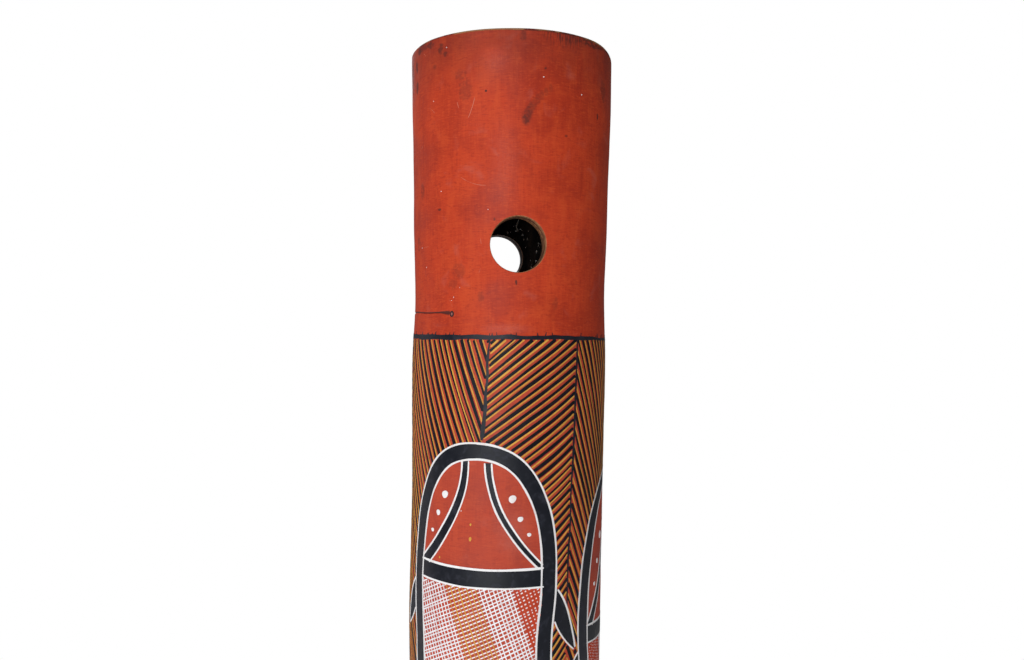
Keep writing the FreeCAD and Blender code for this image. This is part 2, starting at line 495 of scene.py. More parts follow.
class Shader:
    """A material being built, with a method for each kind of node it needs."""

    def __init__(self, name, roughness=0.6, specular=0.35):
        self.material = bpy.data.materials.new(name)
        self.material.use_nodes = True
        self.tree = self.material.node_tree
        self.finish = self.tree.nodes["Principled BSDF"]
        self.finish.inputs["Roughness"].default_value = roughness
        self.finish.inputs["Specular IOR Level"].default_value = specular
        self.where = self.node("TexCoord").outputs["Object"]

    def node(self, kind, inputs=(), **settings):
        """A new node in this material."""
        return add_node(self.tree, kind, inputs, **settings)

    def noise(self, size, detail=4.0, stretch=(1, 1, 1), warp=0.0):
        """Noise whose patches are about size millimetres across."""
        mapping = self.node("Mapping", {"Vector": self.where, "Scale": stretch})
        inputs = {"Scale": 1 / (size * MM), "Detail": detail, "Distortion": warp}
        inputs["Vector"] = mapping.outputs["Vector"]
        return self.node("TexNoise", inputs).outputs["Fac"]

    def math(self, operation, first, second=0.0):
        """The two values added, multiplied or compared."""
        return self.node("Math", {0: first, 1: second}, operation=operation).outputs[0]

    def times(self, first, second):
        """The product of two values."""
        return self.math("MULTIPLY", first, second)

    def vector(self, operation, first, second=(0, 0, 0)):
        """A node that works on one or two vectors."""
        return self.node("VectorMath", {0: first, 1: second}, operation=operation)

    def span(self, value, low, high, to_low=0.0, to_high=1.0):
        """A smooth step from to_low, at low and before, to to_high."""
        inputs = {"Value": value, "From Min": low, "From Max": high}
        inputs |= {"To Min": to_low, "To Max": to_high}
        step = self.node("MapRange", inputs, interpolation_type="SMOOTHSTEP")
        return step.outputs["Result"]

    def mix(self, share, first, second):
        """One colour going over to another by share."""
        inputs = {"Factor": share, 6: first, 7: second}
        return self.node("Mix", inputs, data_type="RGBA").outputs[2]

    def layered(self, colour, *layers):
        """The colour under layers: pattern, where it starts and fills, strength, colour."""
        for pattern, low, high, strength, layer in layers:
            colour = self.mix(self.span(pattern, low, high, 0.0, strength), colour, layer)
        return colour

    def stored(self, name):
        """A number kept on the mesh by give_values."""
        return self.node("Attribute", attribute_name=name).outputs["Fac"]

    def part(self, axis):
        """One coordinate of the place, in metres."""
        return self.node("SeparateXYZ", {0: self.where}).outputs[axis]

    def mark(self, centre, size, edge=0.5):
        """1 inside a soft ellipsoid at centre, in metres; size in millimetres."""
        away = self.vector("SUBTRACT", self.where, centre).outputs[0]
        shares = self.vector("MULTIPLY", away, [1 / (half * MM) for half in size]).outputs[0]
        return self.span(self.vector("LENGTH", shares).outputs["Value"], 1.0, edge)

    def done(self, colour, roughness=None, height=None, distance=0.1, strength=1.0):
        """Wires the colour, roughness and bump, and returns the material."""
        feed(self.finish.inputs["Base Color"], colour)
        if roughness is not None:
            feed(self.finish.inputs["Roughness"], roughness)
        if height is not None:
            inputs = {"Height": height, "Distance": distance * MM, "Strength": strength}
            feed(self.finish.inputs["Normal"], self.node("Bump", inputs).outputs["Normal"])
        return self.material


BORDER_DOWN = 191.2              # the plain red crown ends here
BORDER_TICKS = 70                # short strokes that overshoot a border
RED_DEEP = (0.30, 0.022, 0.0095, 1)
RED_BODY = (0.50, 0.045, 0.0125, 1)
RED_BRIGHT = (0.59, 0.073, 0.0185, 1)
STAIN = (0.085, 0.018, 0.014, 1)
PALE_RED = (0.50, 0.13, 0.10, 1)
BARE_WOOD = (0.33, 0.15, 0.065, 1)
DUSTY_RED = (0.40, 0.095, 0.07, 1)
GALLERY_DIRT = (0.045, 0.017, 0.016, 1)
DARK_RIDGES_AND_SHADE = (0.018, 0.010, 0.009, 1)


def spot_on_skin(degrees, down):
    """The point of the skin at an angle and a distance below the bell."""
    return tuple(skin(math.radians(degrees), TOP - down))


# stains on the crown: degrees round, millimetres down, half sizes, strength
STAINS = [
    (-41, 8.5, (4.2, 5.0, 5.6), 0.7),
    (-38, 12.5, (3.4, 4.0, 3.4), 0.6),
    (-50, 4, (7.5, 6.0, 4.0), 0.7),
    (-62, 5, (5.0, 5.0, 4.0), 0.7),
    (-66, 13, (3.6, 5.0, 7.0), 0.8),
    (-66, 27, (3.2, 5.0, 7.5), 0.75),
    (-46, 19, (3.0, 4.0, 3.0), 0.4),
    (-28, 27, (9.0, 6.0, 6.0), 0.26),
    (-25, 37, (11.0, 6.0, 12.0), 0.3),
    (-30, 150, (9.0, 6.0, 9.0), 0.3),
    (-33, 158, (11.0, 6.0, 6.0), 0.28),
    (-16, 166, (4.0, 5.0, 6.0), 0.3),
    (26, 170, (4.0, 5.0, 7.0), 0.28),
    (-60, 96, (4.0, 5.0, 9.0), 0.4),
    (-66, 130, (4.0, 5.0, 9.0), 0.4),
    (-13.5, 38.8, (1.2, 2.5, 1.2), 1.0),
    (18, 24.5, (1.5, 3.0, 1.3), 0.8),
    (55.4, 48.5, (1.3, 2.0, 3.3), 0.95),
    (31, 65, (1.6, 3.0, 1.3), 0.6),
    (-43, 110, (2.3, 3.0, 1.2), 0.8),
    (3.6, 157, (1.2, 2.5, 3.2), 0.9),
    (-8.5, 118, (1.4, 2.5, 1.6), 0.8),
    (6, 5, (4.0, 5.0, 6.0), 0.5),
    (62, 30, (6.0, 7.0, 12.0), 0.45),
    (-77, 17, (12.0, 9.0, 18.0), 0.55),
    (-58, 3, (18.0, 14.0, 4.5), 0.6),
    (50, 2, (32.0, 26.0, 6.5), 0.85),
]


# pale patches in the red paint, broken up by noise: as the stains
PALE_PATCHES = [
    (-3, 86, (13.0, 8.0, 44.0), 0.22),
    (-10, 20, (14.0, 8.0, 12.0), 0.2),
    (33, 27, (6.0, 6.0, 4.0), 0.3),
    (4, 312, (17.0, 8.0, 22.0), 0.4),
    (-2, 186, (22.0, 9.0, 5.0), 0.4),
]


# a smear that widens as it runs down: its two ends, and its half widths there
SMEAR_START = (21.0, 36.5, 1.6)
SMEAR_END = (8.0, 56.0, 3.7)
SMEAR_BEND = 9.0


def smear(shader):
    """The strength of the dark smear, built of overlapping soft spots."""
    total = 0.0
    for share in np.linspace(0, 1, 9):
        degrees, down, half = (a + (b - a) * share for a, b in zip(SMEAR_START, SMEAR_END))
        degrees -= SMEAR_BEND * share * (1 - share)
        size = (half, half + 1.5, half + 1.8)
        spot = shader.mark(spot_on_skin(degrees, down), size, 0.45)
        weighted = shader.times(spot, 0.45 + share**2 * 0.55)
        total = shader.math("MAXIMUM", weighted, total)
    return total


def stained(shader, colour, height, chalk):
    """The paint's colour, darker towards the rim, under its stains, smear, drips and pale patches.
    """
    # darker towards the bell rim over its top 46 millimetres, broken up by the chalk noise
    rim_darkening = shader.span(height, (TOP - 46) * MM, (TOP - 2) * MM, 0.0, 0.42)
    rim_darkening_mottled = shader.times(rim_darkening, shader.span(chalk, 0.3, 0.55, 0.55, 1.0))
    colour = shader.mix(rim_darkening_mottled, colour, STAIN)
    frayed = shader.span(shader.noise(2.6, 5, warp=0.7), 0.25, 0.75, 0.3, 1.7)
    for degrees, down, size, strength in STAINS:
        inside = shader.mark(spot_on_skin(degrees, down), size, 0.0)
        ragged = shader.span(shader.times(inside, frayed), 0.15, 0.8, 0.0, strength)
        colour = shader.mix(ragged, colour, STAIN)
    smeared = shader.times(smear(shader), shader.span(frayed, 0.4, 1.5, 0.4, 0.8))
    colour = shader.mix(smeared, colour, STAIN)
    edge = shader.mark(spot_on_skin(30, 2), (24.0, 22.0, 12.0), 0.2)
    drips = shader.span(shader.noise(0.95, 3, stretch=(1, 1, 0.14)), 0.42, 0.62, 0.0, 0.8)
    colour = shader.mix(shader.times(drips, edge), colour, STAIN)
    mottle = shader.span(shader.noise(0.9, 3), 0.3, 0.7, 0.45, 1.0)
    for degrees, down, size, strength in PALE_PATCHES:
        inside = shader.mark(spot_on_skin(degrees, down), size, 0.0)
        faint = shader.times(shader.times(inside, mottle), strength)
        colour = shader.mix(faint, colour, PALE_RED)
    return colour


def red_ochre():
    """Matt red earth paint, brushed down the wood over a fine weave of strokes."""
    shader = Shader("red_ochre", specular=0.2)
    patches = shader.noise(34, 5, warp=0.4)
    streaks = shader.noise(4.5, 3, stretch=(1, 1, 0.05))
    clouds = shader.noise(15, 9, stretch=(1, 1, 0.5), warp=0.8)
    chalk = shader.noise(16, 6, warp=0.6)
    hairs = shader.times(shader.noise(1.1, 2, stretch=(1, 1, 0.09)), 0.6)
    threads = shader.noise(1.25, 4, stretch=(0.2, 0.2, 1), warp=1.6)
    weave = shader.math("ADD", hairs, shader.times(threads, 1.4))
    colour = shader.mix(shader.span(patches, 0.32, 0.62), RED_DEEP, RED_BODY)
    colour = shader.layered(
        shader.mix(0.45, colour, RED_BODY),
        (clouds, 0.48, 0.7, 0.45, RED_BRIGHT),
        (clouds, 0.46, 0.3, 0.38, RED_DEEP),
        (streaks, 0.5, 0.8, 0.2, RED_BRIGHT),
        (streaks, 0.48, 0.25, 0.12, RED_DEEP),
        (weave, 1.02, 1.3, 0.5, RED_DEEP),
        (weave, 0.98, 0.7, 0.46, RED_BRIGHT),
        (chalk, 0.58, 0.74, 0.22, PALE_RED),
    )
    height = shader.part("Z")
    colour = stained(shader, colour, height, chalk)
    dusty = shader.span(height, (TOP - BORDER_DOWN - 4) * MM, (TOP - BORDER_DOWN) * MM, 0.28, 0.0)
    colour = shader.mix(dusty, colour, DUSTY_RED)
    wear = shader.stored("wear")
    dark_edge = shader.times(wear, shader.noise(13, 3, warp=0.5))
    worn_edge = shader.times(wear, shader.noise(19, 4))
    colour = shader.layered(
        colour,
        (shader.noise(2.6, 3), 0.79, 0.84, 0.6, STAIN),
        (dark_edge, 0.36, 0.5, 0.8, STAIN),
        (worn_edge, 0.47, 0.53, 1.0, BARE_WOOD),
        (shader.stored("gallery"), 0.2, 0.75, 0.9, GALLERY_DIRT),
    )
    roughness = shader.span(patches, 0.2, 0.8, 0.5, 0.72)
    relief_height = shader.math("ADD", shader.times(weave, 0.5), streaks)
    return shader.done(colour, roughness, relief_height, 0.12, 0.7)


def end_grain():
    """Sawn eucalypt end grain: rings, saw marks, dark patches and smudges of red."""
    shader = Shader("end_grain", specular=0.2)
    inputs = {"Vector": shader.where, "Scale": 130, "Distortion": 4, "Detail": 3}
    wave = shader.node("TexWave", inputs, wave_type="RINGS", rings_direction="Z")
    growth = wave.outputs["Fac"]
    saw = shader.noise(1.6, 3, stretch=(1, 0.07, 1))
    patches = shader.noise(14, 5)
    pale = (0.36, 0.20, 0.105, 1)
    brown = (0.16, 0.075, 0.035, 1)
    colour = shader.layered(
        shader.mix(shader.span(growth, 0.2, 0.8, 0.2, 0.7), pale, brown),
        (saw, 0.45, 0.7, 0.5, brown),
        (patches, 0.5, 0.72, 0.7, (0.06, 0.032, 0.022, 1)),
        (shader.noise(9, 5, warp=1.0), 0.56, 0.66, 0.75, RED_DEEP),
    )
    height = shader.math("ADD", saw, shader.times(growth, 0.5))
    return shader.done(colour, shader.span(patches, 0.2, 0.8, 0.7, 0.9), height, 0.3, 0.8)


def bore_wood():
    """The near-black inner wall, its black a painted shade for the deep inside: old termite runs
    with dusty ridges.
    """
    shader = Shader("bore_wood", specular=0.15)
    runs = shader.noise(6, 5, stretch=(1, 1, 0.25), warp=0.8)
    dust = shader.noise(2.2, 4)
    # the near-black ground is painted shade deep in the bore; the earth runs and pale dust are the
    # wood's own
    dark = (0.009, 0.007, 0.007, 1)
    earth = (0.045, 0.028, 0.021, 1)
    pale_dust = (0.13, 0.09, 0.07, 1)
    colour = shader.layered(
        dark, (runs, 0.4, 0.7, 1.0, earth), (dust, 0.6, 0.75, 0.3, pale_dust)
    )
    return shader.done(colour, shader.span(dust, 0.3, 0.7, 0.75, 0.95), runs, 0.9, 1.0)


def tunnel_wood():
    """The drilled hole's wall: cut brown wood, darker along the drill's ridges and nearly black all
    through the far mouth, where the black is painted shade.
    """
    shader = Shader("tunnel_wood", specular=0.25)
    fibres = shader.noise(1.4, 4, stretch=(1, 1, 0.25))
    light = (0.43, 0.20, 0.09, 1)
    deep = (0.17, 0.07, 0.035, 1)
    # the stored value is the ridges' darkness in the near mouth, and 1 all through the far mouth,
    # where it is painted shade
    ridge = shader.times(shader.stored("wear"), 0.96)
    colour = shader.layered(light, (fibres, 0.35, 0.7, 1.0, deep))
    colour = shader.mix(ridge, colour, DARK_RIDGES_AND_SHADE)
    colour = shader.layered(colour, (shader.noise(6, 4), 0.55, 0.75, 0.6, STAIN))
    return shader.done(colour, shader.span(fibres, 0.3, 0.7, 0.55, 0.8), fibres, 0.25, 0.8)


def paint(name, thin_and_sheen, body, full, roughness, patchy=0.5, specular=0.22):
    """Brushed earth paint, thin in places; each stroke has its own tone. In the bold black the paler
    bluish patches are partly painted sheen.
    """
    shader = Shader(name, specular=specular)
    pull = shader.noise(0.8, 3, stretch=(1, 1, 0.35))
    pools = shader.noise(5.5, 4, warp=0.5)
    colour = shader.layered(
        shader.mix(shader.stored("tone"), body, full),
        (pull, 0.35, 0.7, 0.5, full),
        (pools, 0.5, 0.7, patchy, thin_and_sheen),
        (shader.noise(0.55, 2), 0.66, 0.78, patchy, thin_and_sheen),
    )
    finish = shader.span(pools, 0.25, 0.75, roughness - 0.1, roughness + 0.12)
    return shader.done(colour, finish, pull, 0.07, 0.6)


def beeswax():
    """Old beeswax, darkest where it was pressed and handled."""
    shader = Shader("beeswax", specular=0.45)
    shader.finish.inputs["Subsurface Weight"].default_value = 0.15
    shader.finish.inputs["Subsurface Radius"].default_value = (0.004, 0.002, 0.001)
    lumps = shader.noise(8, 5, warp=0.6)
    specks = shader.noise(1.1, 3)
    colour = shader.layered(
        (0.16, 0.075, 0.02, 1),
        (lumps, 0.3, 0.7, 1.0, (0.42, 0.24, 0.07, 1)),
        (specks, 0.66, 0.76, 0.7, (0.05, 0.025, 0.012, 1)),
    )
    return shader.done(colour, shader.span(specks, 0.3, 0.7, 0.32, 0.55), lumps, 0.5, 0.7)


BLACK_PAINT = paint(
    "black_paint", (0.022, 0.015, 0.018, 1), (0.0065, 0.0075, 0.0125, 1),
    (0.0035, 0.004, 0.007, 1), 0.5, 0.45, 0.15,
)
# the bold black's bluish body and paler bluish streaks are partly painted sheen on the black bands
BOLD_BLACK = paint(
    "bold_black_paint", (0.026, 0.028, 0.042, 1), (0.0105, 0.0125, 0.0215, 1),
    (0.0055, 0.007, 0.0125, 1), 0.46, 0.6, 0.24,
)
YELLOW_PAINT = paint(
    "yellow_ochre_paint", (0.50, 0.13, 0.028, 1), (0.52, 0.225, 0.034, 1),
    (0.68, 0.36, 0.058, 1), 0.62, 0.5,
)
WHITE_PAINT = paint(
    "white_clay_paint", (0.66, 0.50, 0.46, 1), (0.80, 0.79, 0.80, 1),
    (0.88, 0.88, 0.90, 1), 0.7, 0.35,
)
THIN_WHITE_PAINT = paint(
    "thin_white_paint", (0.56, 0.40, 0.38, 1), (0.78, 0.76, 0.79, 1),
    (0.88, 0.89, 0.92, 1), 0.7, 0.45,
)
RED_PAINT = paint(
    "red_ochre_lines", RED_DEEP, RED_BODY, (0.56, 0.06, 0.02, 1), 0.62, 0.4,
)


# ------------------------------------------------------------------ the paint

GIRTH = 65.5                     # the radius that ACROSS is measured at
HALF_TURN = math.pi * GIRTH
SUNK = -0.07                     # how far a stroke's underside is below the skin
HATCH_LIFT = 0.09
CROSS_LIFT = 0.16
BAND_LIFT = 0.15
EDGE_LIFT = 0.23
DOT_LIFT = 0.34
FINE_STEP = 0.6                  # between the samples that a line is clipped at
STROKE_STEP = 4.4                # between the points that a line is drawn with
TIP_SHARE = 0.6 / STROKE_STEP    # how much of a step a line's blunt tip takes
SHORTEST = 4                     # samples: anything shorter isn't drawn
FACET = 1.4                      # the widest flat strip across a stroke
CROWN = 0.15                     # how much lower a stroke is at its edges
FULL_TURN = 2 * HALF_TURN


def squeeze(down):
    """How much narrower than its painted girth the log is, that far down."""
    return along(RADIUS, TOP - down) / GIRTH


def place(across, down, lift):
    """Points over the painted skin, lifted off it by millimetres."""
    return skin(across / GIRTH, TOP - down, lift)


def pair(across, down):
    """A path, as rows of across and down."""
    return np.stack(np.broadcast_arrays(across, down), -1)


class Coat:
    """One colour of paint: thin raised strokes that gather into one mesh."""

    def __init__(self, name, material):
        self.name = name
        self.material = material
        self.points = []
        self.quads = []
        self.caps = []
        self.tones = []
        self.total = 0

    def gather(self, rings):
        """Adds a closed form, made of rings of points, in a tone of its own."""
        count, sides = rings.shape[:2]
        index = self.total + np.arange(count * sides).reshape(count, sides)
        self.points.append(rings.reshape(-1, 3))
        self.quads.append(wall_quads(index))
        self.caps += [tuple(index[0][::-1]), tuple(index[-1])]
        self.tones.append(np.full(count * sides, rng.random()))
        self.total += count * sides

    def stroke(self, path, width, lift, blunt=0.5):
        """A painted line along path, rows of across and down, with round ends."""
        across, down = np.asarray(path, float).T
        narrow = squeeze(down)
        way_across = np.gradient(across) * narrow
        way_down = np.gradient(down)
        length = np.maximum(np.hypot(way_across, way_down), 1e-6)
        side_across = -way_down / length / narrow
        side_down = way_across / length
        half = np.broadcast_to(np.asarray(width, float) / 2, across.shape).copy()
        half[[0, -1]] *= blunt
        strips = max(1, math.ceil(half.max() / FACET))
        profile = [(-1.0, SUNK)]
        for share in np.linspace(-1, 1, strips + 1):
            profile.append((share, lift * (1 - CROWN * share * share)))
        profile.append((1.0, SUNK))
        rows = [
            place(across + side_across * half * share, down + side_down * half * share, height)
            for share, height in profile
        ]
        self.gather(np.stack(rows, 1))

    def loop(self, path, width, lift):
        """A painted line that closes on itself: its end overlaps its start."""
        self.stroke(np.concatenate([path, path[:2]]), width, lift, blunt=0.9)

    def dot(self, across, down, size, lift=DOT_LIFT, stretch=1.0):
        """A round dab of paint, size millimetres across."""
        turn = 2 * np.pi * np.arange(14) / 14
        uneven = 1 + 0.07 * np.sin(2 * turn + rng.uniform(0, 6)) + 0.05 * np.sin(3 * turn)
        rows = []
        for share, height in ((1, SUNK), (0.97, lift * 0.5), (0.8, lift * 0.85), (0.35, lift)):
            reach = size / 2 * share * uneven
            aside = reach * np.cos(turn) / squeeze(down)
            rows.append(place(across + aside, down - reach * np.sin(turn) * stretch, height))
        self.gather(np.stack(rows, 0))

    def finish(self):
        """Makes the mesh of everything painted so far."""
        points = np.concatenate(self.points)
        faces = np.concatenate(self.quads).tolist() + self.caps
        piece = finished(self.name, points, faces, [self.material])
        give_values(piece, "tone", np.concatenate(self.tones))


def wobble(count, size, step=14):
    """Smooth random wandering of a hand, one value for each of count samples."""
    knots = max(3, count // step + 2)
    values = [rng.uniform(-size, size) for _ in range(knots)]
    return np.interp(np.linspace(0, knots - 1, count), np.arange(knots), values)


def walked(path):
    """How far along a path each of its points is."""
    steps = np.hypot(*np.diff(path, axis=0).T)
    return np.concatenate([[0], np.cumsum(steps)])


def resampled(path, step):
    """The same path with its points about step apart."""
    path = np.asarray(path, float)
    reach = walked(path)
    stops = np.linspace(0, reach[-1], max(2, round(reach[-1] / step)) + 1)
    return np.stack([np.interp(stops, reach, column) for column in path.T], -1)


def softened(path):
    """A path with its corners rounded by cutting them, twice over."""
    path = np.asarray(path, float)
    for _ in range(2):
        early = path[:-1] * 0.75 + path[1:] * 0.25
        late = path[:-1] * 0.25 + path[1:] * 0.75
        middle = np.stack([early, late], 1).reshape(-1, 2)
        path = np.concatenate([path[:1], middle, path[-1:]])
    return path


def beside(path, offset):
    """A path moved sideways by millimetres; positive is to its right."""
    path = np.asarray(path, float)
    way = np.gradient(path, axis=0)
    narrow = squeeze(path[:, 1])
    real = np.stack([way[:, 0] * narrow, way[:, 1]], -1)
    real /= np.linalg.norm(real, axis=1)[:, None]
    return path + np.stack([-real[:, 1] / narrow, real[:, 0]], -1) * np.reshape(offset, (-1, 1))


def draw_clipped(coat, path, inside, width, lift, overrun=0.4):
    """Paints the stretches of a finely sampled line where inside is true."""
    flags = np.concatenate([[False], inside, [False]])
    changes = np.flatnonzero(flags[1:] != flags[:-1])
    for first, last in zip(changes[::2], changes[1::2]):
        if last - first < SHORTEST:
            continue
        piece = path[first:last]
        start = piece[0] - (piece[1] - piece[0]) / FINE_STEP * rng.uniform(-0.2, overrun)
        end = piece[-1] + (piece[-1] - piece[-2]) / FINE_STEP * rng.uniform(-0.2, overrun)
        piece = resampled(np.concatenate([[start], piece[1:-1], [end]]), STROKE_STEP)
        body = width * rng.uniform(0.82, 1.18) * (1 + wobble(len(piece), 0.13, 3))
        nearly = piece[0] + (piece[1] - piece[0]) * TIP_SHARE
        almost = piece[-1] + (piece[-2] - piece[-1]) * TIP_SHARE
        piece = np.concatenate([piece[:1], [nearly], piece[1:-1], [almost], piece[-1:]])
        body = np.concatenate([body[:1], body, body[-1:]])
        coat.stroke(piece, body, lift)


ARCH_POWER = 2.3                 # how square the figure's top is, and its base
BASE_POWER = 2.4
NARROWING = 44                   # the fall over which its sides draw in
BAND_MIDDLE = 5.5                # the black band's middle and width, inside the outline
BAND_WIDTH = 10.6
BAR_INSET = 9.6                  # how far inside the outline a bar ends
STRIPE_START = 7.5               # how far from the middle a stripe starts, and
STRIPE_INSET = 16.5              # how far inside the outline it ends
EDGE_WIDTH = 1.15                # the white lines' widths
OUTLINE_WIDTH = 1.25


class Figure:
    """One arched shield: a tall closed form with a banded edge and side leaves."""

    def __init__(self, across, apex, tall, bar, wide=53.7):
        self.across = across
        self.apex = apex
        self.tall = tall
        self.bar = bar                 # how far below the apex its bar is
        self.wide = wide
        self.shoulder = 90 + 0.35 * (bar - 78)
        self.waist = self.shoulder + NARROWING
        self.leaves = [self.leaf(-1), self.leaf(1)]

    def half_width(self, below, grow=0.0):
        """Half the width, that far below the apex, with the form grown all round."""
        tall = self.tall + 2 * grow
        below = np.clip((below + grow) * self.tall / tall, 0, self.tall)
        arch = np.clip((self.shoulder - below) / self.shoulder, 0, 1)
        base = np.clip((below - self.waist) / (self.tall - self.waist), 0, 1)
        arched = np.maximum(1 - arch**ARCH_POWER, 0) ** (1 / ARCH_POWER)
        based = np.maximum(1 - base**BASE_POWER, 0) ** (1 / BASE_POWER)
        narrowing = np.clip((below - self.shoulder) / NARROWING, 0, 1)
        waist = 1 - 0.06 * narrowing * narrowing * (3 - 2 * narrowing)
        return (self.wide + grow) * arched * based * waist

    def beyond(self, path, grow):
        """Where a path is clear of the outline grown by grow, leaves apart."""
        below = path[:, 1] - self.apex
        clear = abs(path[:, 0] - self.across) > self.half_width(below, grow)
        return clear | (below < -grow) | (below > self.tall + grow)

    def outside(self, across, down, grow):
        """Where a line is clear of the grown outline and of both leaves."""
        clear = self.beyond(pair(across, down), grow)
        for spine, reach in self.leaves:
            near = abs(down - spine[:, 1].mean()) < 45
            if near.any():
                gap_across = (across[near][:, None] - spine[None, :, 0]) * squeeze(self.apex)
                gap_down = down[near][:, None] - spine[None, :, 1]
                gap = np.hypot(gap_across, gap_down) - reach[None, :]
                clear[near] &= gap.min(1) > grow
        return clear

    def outline(self):
        """The closed outline, from the apex round by the right."""
        turn = np.linspace(0, math.pi / 2, 60)
        arch_below = self.shoulder * (1 - np.cos(turn) ** (2 / ARCH_POWER))
        base_below = self.waist + (self.tall - self.waist) * np.sin(turn) ** (2 / BASE_POWER)
        side_below = np.linspace(self.shoulder, self.waist, 12)
        below = np.concatenate([arch_below[:-1], side_below[:-1], base_below])
        half = self.half_width(below)
        right = pair(self.across + half, self.apex + below)
        left = pair(self.across - half, self.apex + below)[::-1]
        return resampled(np.concatenate([right, left[1:]]), 2.6)[:-1]

    def leaf(self, side):
        """A side leaf's spine and its half width at each point of it."""
        top = self.apex + self.bar + 14
        drop = 41 if side > 0 else 33
        lean = 17.5 if side > 0 else 14.5
        start = self.across + side * (self.wide - 2.5)
        bends = ((0, 0), (0.22, 0.3), (0.56, 0.68), (1, 1))
        corners = [(start + side * lean * out, top + drop * fall) for out, fall in bends]
        spine = resampled(softened(corners), 2.0)
        share = np.linspace(0, 1, len(spine))
        reach = 5.9 * np.sin(math.pi * np.clip(share * 0.93 + 0.035, 0, 1) ** 0.85) ** 0.75
        return spine, reach


def hand_drift(count, size, step=7):
    """How far a hand wanders at each of count points, across and down."""
    return np.stack([wobble(count, size, step), wobble(count, size, step)], -1)


def shaky(path, size=0.3):
    """A path drawn by a hand that wanders a little."""
    return path + hand_drift(len(path), size)


def paint_leaf(figure, spine, reach):
    """A black leaf with a white edge, which springs from a figure's side."""
    BLACK_BANDS.stroke(spine, reach * 2, BAND_LIFT - 0.02, blunt=0.3)
    for side in (-1, 1):
        edge = shaky(beside(spine, side * np.maximum(reach - 0.3, 0.1)), 0.12)
        edge = resampled(edge, FINE_STEP)
        draw_clipped(WHITE_EDGES, edge, figure.beyond(edge, 0.2), EDGE_WIDTH, EDGE_LIFT)


def paint_stripe(figure, side, start, drop, widths):
    """A curved black stripe with white edges, from the arch to the bar."""
    steps = np.linspace(0, 1, 26)
    fall = start + (drop - start) * steps
    bend = (figure.wide - STRIPE_INSET - widths[1] / 2) * steps**2
    path = pair(figure.across + side * (STRIPE_START + bend), figure.apex + fall)
    path = shaky(resampled(path, 2.4), 0.2)
    body = np.interp(np.linspace(0, 1, len(path)), (0, 1), widths)
    BLACK_BANDS.stroke(path, body, BAND_LIFT, blunt=1.0)
    for edge_side in (-1, 1):
        edge = resampled(beside(path, edge_side * (body / 2 - 0.1)), FINE_STEP)
        inside = ~figure.beyond(edge, -9.9) & (edge[:, 1] < figure.apex + drop)
        draw_clipped(WHITE_EDGES, edge, inside, EDGE_WIDTH, EDGE_LIFT, 0.6)


def paint_bar(figure, drop, tall, slope=0.0):
    """A black bar across a figure, white along its top and bottom edges."""
    def level(at):
        down = figure.apex + at
        half = figure.half_width(at) - BAR_INSET
        reach = np.linspace(-half, half, max(12, int(half / 1.3)))
        bow = 0.9 * (1 - (reach / half) ** 2)
        return pair(figure.across + reach, down + bow + slope * reach)

    middle = level(drop + tall / 2)
    BLACK_BANDS.stroke(middle, tall, BAND_LIFT + 0.01, blunt=1.0)
    for at, width in ((drop, 1.5), (drop + tall, EDGE_WIDTH)):
        edge = shaky(level(at), 0.2)
        WHITE_EDGES.stroke(edge, width + wobble(len(edge), 0.2, 5), EDGE_LIFT)


FLAT_PITCH = 2.62                # between the panel's flatter lines, and their width
FLAT_WIDTH = 0.74
PANEL_INSET = 10.4               # how far inside the outline the panel ends


def paint_cross_hatch(figure, top, bottom, bounds, order):
    """The panel of crossed lines, in slanting bands of different colours.

    bounds are the bands' edges along the panel's top, and order names each
    band's steep lines: white, yellow or red.
    """
    rise = math.tan(math.radians(27 + rng.uniform(-2, 2)))
    lean = math.tan(math.radians(21 + rng.uniform(-2, 2)))

    def inside(path):
        below = path[:, 1] - figure.apex
        fits = abs(path[:, 0] - figure.across) < figure.half_width(below) - PANEL_INSET
        return fits & (below > top) & (below < bottom)

    wide = figure.wide
    span_across = np.arange(-wide, wide, FINE_STEP)
    start = top - wide * rise
    while start < bottom + wide * rise:
        start += FLAT_PITCH * rng.uniform(0.9, 1.1)
        slope = rise * rng.uniform(0.97, 1.03)
        path = pair(figure.across + span_across, figure.apex + start - slope * span_across)
        draw_clipped(CROSS_WHITE, path, inside(path), FLAT_WIDTH, HATCH_LIFT, 0.5)

    span_down = np.arange(top - 2, bottom + 2, FINE_STEP)
    start = -wide - (bottom - top) * lean
    steep = {"white": (CROSS_WHITE, 2.75, 0.7), "yellow": (CROSS_YELLOW, 2.9, 0.7)}
    steep["red"] = (CROSS_RED, 2.75, 1.5)
    while start < wide:
        coat, pitch, width = steep[order[int(np.searchsorted(bounds, start)) % len(order)]]
        start += pitch * rng.uniform(0.9, 1.1)
        slope = lean * rng.uniform(0.98, 1.02)
        across = figure.across + start + slope * (span_down - top)
        path = pair(across, figure.apex + span_down)
        draw_clipped(coat, path, inside(path), width, CROSS_LIFT, 0.3)


